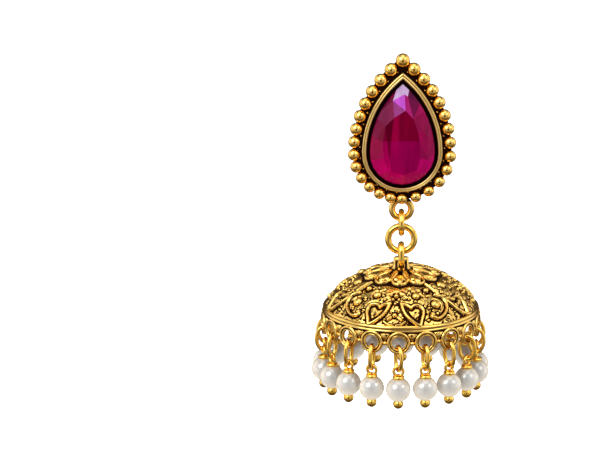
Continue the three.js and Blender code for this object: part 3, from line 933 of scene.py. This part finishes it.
# The wash fills what is sunk and lies in patches on the skin, more of them towards the rim
pitted = smoothstep(8.2, 11.2, radii)
skin_wash = smoothstep(0.30 - 0.28 * pitted, 0.5 - 0.25 * pitted, rough)
dome_wash = sunk * free + skin_wash * skin * smoothstep(-0.3, 0.2, specks + 0.2 * pitted)
dome_wash = np.clip(dome_wash - 0.6 * covered * (1 - smoothstep(0.0, 0.3, rough)), 0, 1)

# Each point moves out along the normal of the plain dome
slope = fall[:, None]
outward = np.hypot(1, slope)
raised_radii = radii + height * slope / outward
points = np.stack([raised_radii * np.sin(turns), hang_y - raised_radii * np.cos(turns),
                   plain_spots[..., 2] + height / outward], axis=-1).reshape(-1, 3)
faces = grid_faces(dome_rows, dome_sides, flip=True)
dome = mesh_object("bell_dome", points, faces, antique_gold, dome_wash.reshape(-1))


def turned(name, rows, sides, wash):
    """A form turned round the bell's axis from its rows, which run from the top down."""
    points, faces = revolved(rows[::-1], sides)
    return mesh_object(name, points + np.array([0.0, hang_y, 0.0]), faces, antique_gold, wash(points))


# The neck is a short post with an eased top edge, which flares out where it meets the dome. Its
# top is flattened from the front to the back, to about half its width.
neck_ease = 0.15
neck_flare = 1.0
neck_flat = 0.55
leg_side = 0.78
neck_rows = ([(0.0, neck_top), (neck_radius - neck_ease, neck_top), (neck_radius, neck_top - neck_ease),
              (neck_radius, neck_top - 0.95)]
             + arc((neck_radius + neck_flare, neck_top - 1.05), neck_flare, 180, 266, 8))


def neck_wash(points):
    """Black in the corner at the dome and in a line down each side of the bail's legs."""
    from_leg, up = np.abs(np.abs(points[:, 0]) - leg_side), points[:, 2]
    lines = 0.8 * smoothstep(0.3, 0.16, from_leg) * smoothstep(neck_top, neck_top - 0.4, up)
    return np.maximum(lines, 0.6 * smoothstep(neck_top - 1.6, neck_top - 2.0, up))


neck = turned("bell_neck", neck_rows, 64, neck_wash)
for corner in neck.data.vertices:
    widened = float(smoothstep(neck_top - 0.5, apex_z + 0.2, corner.co.z / MM))
    flat = neck_flat + (1 - neck_flat) * widened
    corner.co.y = hang_y * MM + flat * (corner.co.y - hang_y * MM)

# The rim has two ridges with black in the groove between them, and goes over into the smooth
# inside, which follows the dome at the wall's thickness
upper_ridge = {"out": 0.18, "up": 0.12, "radius": 0.37}
lower_ridge = {"out": 0.25, "up": -0.44, "radius": 0.29}
rim_groove = -0.19
rim_rows = []
for lip, start, end in ((upper_ridge, 120, -38), (lower_ridge, 42, -90)):
    rim_rows += arc((rim_radius + lip["out"], rim_z + lip["up"]), lip["radius"], start, end, 12)
rim_rows.append((rim_radius - 0.35, rim_z - 0.6))
inner_radius = np.linspace(0.0, rim_radius - 0.2, 18)
inner_height = dome_height(inner_radius * bell_radius / (bell_radius - 0.5)) - bell_wall
inner_rows = [(float(r), float(z)) for r, z in zip(inner_radius[::-1], inner_height[::-1])
              if z > rim_z + 0.3]
shell_rows = rim_rows + inner_rows[:-1] + [(0.0, inner_rows[-1][1])]


def rim_wash(points):
    radius = np.hypot(points[:, 0], points[:, 1])
    groove = smoothstep(0.13, 0.05, np.abs(points[:, 2] - rim_z - rim_groove))
    return np.where(radius > rim_radius, groove * smoothstep(0.45, 0.3, radius - rim_radius), 0.1)


rim = turned("bell_rim", shell_rows, 240, rim_wash)

# The bail is a wire bent over in an upside-down U, its legs soldered down the neck's front and back
bail_bend = (bail["hole"] + bail["wire"]) / 2
leg_foot = apex_z + 0.1
bail_path = ([(bail_bend, leg_foot), (bail_bend, neck_top)] + arc((0.0, bail_z), bail_bend, 0, 180, 24)
             + [(-bail_bend, neck_top), (-bail_bend, leg_foot)])
wire_sides = 20
points = []
for i, (y, z) in enumerate(bail_path):
    before, after = bail_path[max(i - 1, 0)], bail_path[min(i + 1, len(bail_path) - 1)]
    along = Vector((after[0] - before[0], after[1] - before[1])).normalized()
    for x, out in arc((0.0, 0.0), bail["wire"] / 2, 0, 360, wire_sides)[:-1]:
        points.append((x, hang_y + y - out * along.y, z + out * along.x))
faces = grid_faces(len(bail_path), wire_sides)
faces.append(tuple(range(wire_sides))[::-1])
faces.append(tuple(range(len(points) - wire_sides, len(points))))
bell_bail = mesh_object("bell_bail", points, faces, bright_gold)
for piece in (dome, neck, rim, bell_bail):
    settle(piece, "drop", ["bell"])


# Eyelet band
# A pierced band cast under the rim: one double-ridged eyelet for each drop, joined by pointed
# webs that hang from the rim. Black wash fills the corners.

drops = sum(1 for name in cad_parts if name.startswith("pearl_drop"))
front_turn = math.radians(-3)
eyelet_hole = 2.2
eyelet_wall = 0.85
eyelet_radius = eyelet_hole / 2 + eyelet_wall
eyelet_z = rim_z - rim_wire / 2 - eyelet_radius + weld

# Copies of one part, set round the bell's axis, from the first turn on and a step apart
circle_tree, given = new_tree("round_the_bell", {
    "Part": "Object", "Count": "Int", "Step": "Float", "First Turn": "Float", "Axis": "Vector",
    "Finish": "Material"})
on_axis = add_node(circle_tree, "GeometryNodePoints", {
    "Count": given["Count"], "Position": given["Axis"]})
index = add_node(circle_tree, "GeometryNodeInputIndex")
turned_by = add_node(circle_tree, "ShaderNodeMath", {
    0: index.outputs[0], 1: given["Step"], 2: given["First Turn"]}, operation="MULTIPLY_ADD")
spin = add_node(circle_tree, "ShaderNodeCombineXYZ", {"Z": turned_by.outputs[0]})
shape = add_node(circle_tree, "GeometryNodeObjectInfo", {"Object": given["Part"]})
copies = add_node(circle_tree, "GeometryNodeInstanceOnPoints", {
    "Points": on_axis.outputs[0], "Instance": shape.outputs["Geometry"], "Rotation": spin.outputs[0]})
end_tree(circle_tree, copies.outputs[0], given["Finish"])


def round_the_bell(name, part, turn, finish, count=drops):
    """Sets a part, made in front of an axis at the origin, round the bell, and removes it."""
    made = grown(name, bpy.data.meshes.new(name), circle_tree, {
        "Part": part, "Count": count, "Step": 2 * math.pi / count, "First Turn": turn,
        "Axis": (0, hang_y * MM, 0), "Finish": finish})
    bpy.data.objects.remove(part)
    return made


# An eyelet has an inner and an outer lip on its front and back, with black in the groove between
inner_lip = {"at": 1.27, "radius": 0.15, "out": 0.17}
outer_lip = {"at": 1.7, "radius": 0.25, "out": 0.13}
lip_groove = 1.435
front_half = []
for lip, start, end in ((inner_lip, 160, 5), (outer_lip, 165, 0)):
    front_half += [(r, -h) for r, h in arc((lip["at"], lip["out"]), lip["radius"], start, end, 8)]
eyelet_section = [(eyelet_hole / 2, 0.0)] + front_half + [(r, -h) for r, h in front_half[::-1]]
points, faces = revolved(eyelet_section + eyelet_section[:1], 48)
from_groove = np.abs(np.hypot(points[:, 0], points[:, 1]) - lip_groove)
eyelet_wash = smoothstep(0.1, 0.05, from_groove) * smoothstep(0.33, 0.26, np.abs(points[:, 2]))
points = np.stack([points[:, 0], points[:, 2] - bell_radius, points[:, 1] + eyelet_z], axis=1)
eyelet = mesh_object("eyelet", points, [face[::-1] for face in faces], antique_gold, eyelet_wash)
eyelets = round_the_bell("eyelets", eyelet, front_turn, antique_gold)

web_foot = 0.4
web_top = eyelet_radius - 0.1
web_thickness = 0.45
web_front = -(bell_radius - 0.1) - web_thickness / 2
half_pitch = bell_radius * math.tan(math.pi / drops)
foot_half = half_pitch - eyelet_radius + weld
top_half = half_pitch - 0.2
point_half = 0.8
knob = {"up": -0.12, "back": 0.12, "width": 0.78}


def web_plate(name, outline, front, thickness, wash, inset=0.0):
    """A flat piece with an outline across and up from the eyelets' middle. inset draws its front
    in for a sloped edge, and wash is that of its back, its edge and its front."""
    count = len(outline)
    middle = np.mean(outline, axis=0)
    rows = []
    for share, y in ((1.0, front + thickness), (1.0, front + inset), (1 - inset / point_half, front)):
        rows += [(middle[0] + share * (x - middle[0]), y, eyelet_z + middle[1] + share * (z - middle[1]))
                 for x, z in outline]
    faces = grid_faces(3, count) + [tuple(range(count))[::-1], tuple(range(2 * count, 3 * count))]
    return mesh_object(name, rows, faces, antique_gold, np.repeat(wash, count), smooth=False)


# Between two eyelets: a web black in front, a gold point on it and a knob at its foot
web_turn = front_turn + math.pi / drops
web_outline = [(-foot_half, -web_foot), (foot_half, -web_foot), (top_half, web_top), (-top_half, web_top)]
web = web_plate("web", web_outline, web_front, web_thickness, (0.0, 1.0, 1.0))
webs = round_the_bell("webs", web, web_turn, antique_gold)
point_outline = [(0.0, 0.2), (point_half, 1.55), (-point_half, 1.55)]
point = web_plate("web_point", point_outline, web_front - 0.2, 0.3, (1.0, 0.0, 0.0), 0.14)
web_points = round_the_bell("web_points", point, web_turn, antique_gold)
knob_place = (0, web_front + knob["back"], eyelet_z + knob["up"], knob["width"])
web_knob = balls("web_knob", [knob_place], 16, antique_gold)
knobs = round_the_bell("web_knobs", web_knob, web_turn, antique_gold)
for piece in (eyelets, webs, web_points, knobs):
    settle(piece, "drop", ["bell"])


# Jump rings
# Oval rings of thin bright wire, bent shut through each eyelet. They hang edge on to the circle,
# each with a small twist of its own.

jump = {"hole": 1.84, "height": 3.37, "wire": 0.68}
jump_z = middle_height("jump_ring_01")
# How far each ring has twisted from its edge-on place in degrees, repeated round the bell
twists = [24, 1, -1, 33, 18, 8]
pitch = 2 * math.pi / drops
for i, twist in enumerate(twists):
    twisted = (math.pi / 2, 0, math.pi / 2 + math.radians(twist))
    oval_ring = wire_ring("oval", jump, twisted, (0, -bell_radius, jump_z), bright_gold, around=40)
    jump_rings = round_the_bell(f"jump_rings_{i + 1}", oval_ring, front_turn + i * pitch, bright_gold,
                                drops // len(twists))
    settle(jump_rings, "drop", [f"jump_ring_{n + 1:02d}" for n in range(i, drops, len(twists))])


# Pearl drops
# A round imitation pearl on a gilt pin. The pin's ball head shows below, and above the pearl it
# passes a thick collar and is bent into a small eye that hangs in the jump ring.

drop_low, drop_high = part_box("pearl_drop_01")
head_width = 1.72
pearl_width = 4.1
head_drop = 2.47
eye = {"hole": 1.12, "wire": 0.42}
eye_swell = 0.1
collar_radius = 0.98
collar_height = 0.7
pin_radius = 0.3
head_z = drop_low[2] / MM + head_width / 2
pearl_z = head_z + head_drop
eye_z = drop_high[2] / MM - eye["hole"] / 2 - eye["wire"]
collar_top = eye_z - eye["hole"] / 2 - weld

pearl_glaze, tree, shader = new_material("pearl")
place = add_node(tree, "ShaderNodeTexCoord").outputs["Object"]
cloud = add_node(tree, "ShaderNodeTexNoise", {"Vector": place, "Scale": 260, "Detail": 2})
cream = add_node(tree, "ShaderNodeMix", {
    0: cloud.outputs["Fac"], 6: (0.39, 0.38, 0.36, 1), 7: (0.33, 0.32, 0.305, 1)}, data_type="RGBA")
# The edge is lighter and warmer than the greyer middle: partly the nacre's own warm tint, partly a
# painted reflection of warm light
painted_rim_light = add_node(tree, "ShaderNodeLayerWeight", {"Blend": 0.45})
nacre_and_painted_rim_light = add_node(tree, "ShaderNodeMix", {
    0: painted_rim_light.outputs["Facing"], 6: cream.outputs[2], 7: (0.88, 0.76, 0.58, 1)}, data_type="RGBA")
feed(tree, shader, {
    "Base Color": nacre_and_painted_rim_light.outputs[2], "Roughness": 0.25, "Specular IOR Level": 0.8,
    "Coat Weight": 1.0, "Coat Roughness": 0.03, "Coat IOR": 1.9,
    "Subsurface Weight": 0.15, "Subsurface Radius": (1.2 * MM, 1.0 * MM, 0.8 * MM),
    "Subsurface Scale": 1.0})

pearl_ball = balls("pearl_ball", [(0, -bell_radius, pearl_z, pearl_width)], 56, pearl_glaze)
pearls = round_the_bell("pearls", pearl_ball, front_turn, pearl_glaze)
drop_nodes = [f"pearl_drop_{i + 1:02d}" for i in range(drops)]
settle(pearls, "drop", drop_nodes)

# The pin from below: its ball head, the part in the pearl, the bulging collar and the eye's foot
collar_foot = collar_top - collar_height
bulge = collar_height / 2
pin_rows = ([(0.0, head_z - head_width / 2)] + arc((0.0, head_z), head_width / 2, -80, 62, 14)
            + [(pin_radius, head_z + 0.85), (pin_radius, collar_foot - 0.02)]
            + arc((collar_radius - bulge, collar_foot + bulge), bulge, -90, 90, 10)
            + [(pin_radius + 0.05, collar_top + 0.02), (pin_radius, collar_top + 0.16),
               (0.0, collar_top + 0.2)])
points, faces = revolved(pin_rows, 32)
pin = mesh_object("pin", points + np.array([0.0, -bell_radius, 0.0]), faces, bright_gold)
pins = round_the_bell("drop_pins", pin, front_turn, bright_gold)
settle(pins, "drop", drop_nodes)

# The eye's wire is swollen a little where it was bent
bent_eye = {"hole": eye["hole"] - 0.6 * eye_swell, "wire": eye["wire"] + eye_swell}
eye_ring = wire_ring("eye", bent_eye, FACING, (0, -bell_radius, eye_z), bright_gold, around=36)
eyes = round_the_bell("drop_eyes", eye_ring, front_turn, bright_gold)
settle(eyes, "drop", drop_nodes)
